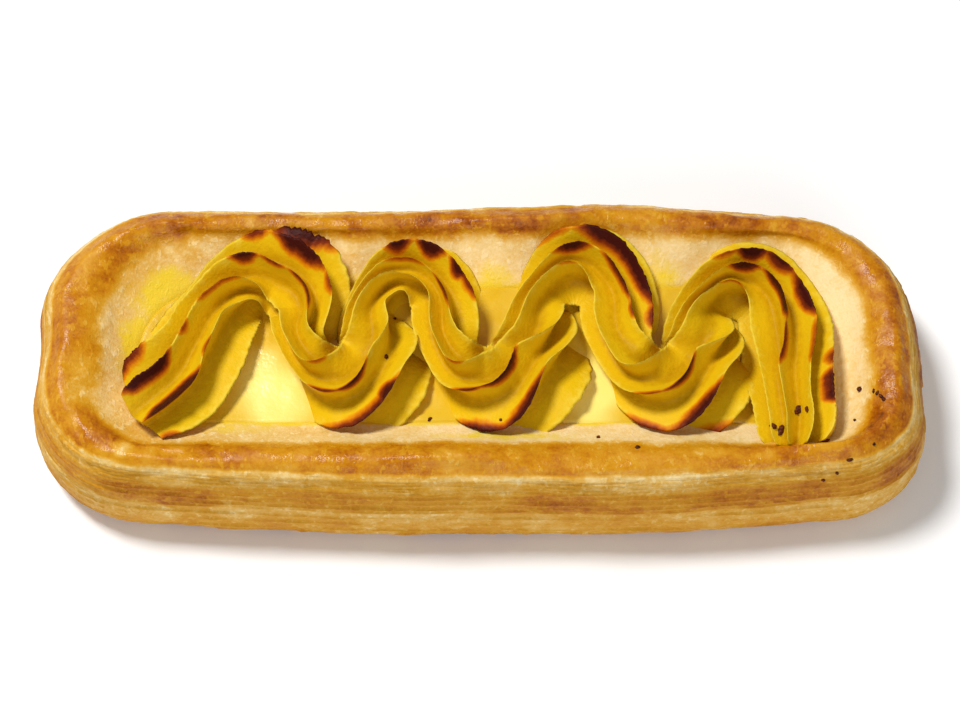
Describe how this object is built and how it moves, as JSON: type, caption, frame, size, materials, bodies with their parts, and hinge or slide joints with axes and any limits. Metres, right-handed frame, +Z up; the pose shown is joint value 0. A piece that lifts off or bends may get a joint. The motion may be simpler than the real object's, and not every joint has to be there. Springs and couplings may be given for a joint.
{
  "type": "danish pastry",
  "caption": "Oblong baked pastry with a raised dough rim, a shallow custard pool and a ridged rope of custard piped along it in a zigzag.",
  "frame": {"origin": "centre of the pastry's outline, on the plane of its flat bottom", "axes": "+X along the pastry towards the end of the piped rope, +Y across it towards the side that the humps of the zigzag lean on, +Z up"},
  "size_m": [0.1506, 0.0575, 0.0252],
  "materials": {
    "baked_dough": "laminated dough baked golden brown, pale where it was shaded",
    "baked_custard": "smooth yellow baked custard with a moist shine",
    "piped_custard": "firm yellow piped custard, its ridges scorched dark brown"
  },
  "bodies": {
    "root": {"pastry_crust": "baked_dough", "custard_pool": "baked_custard", "piped_custard": "piped_custard"}
  },
  "joints": []
}
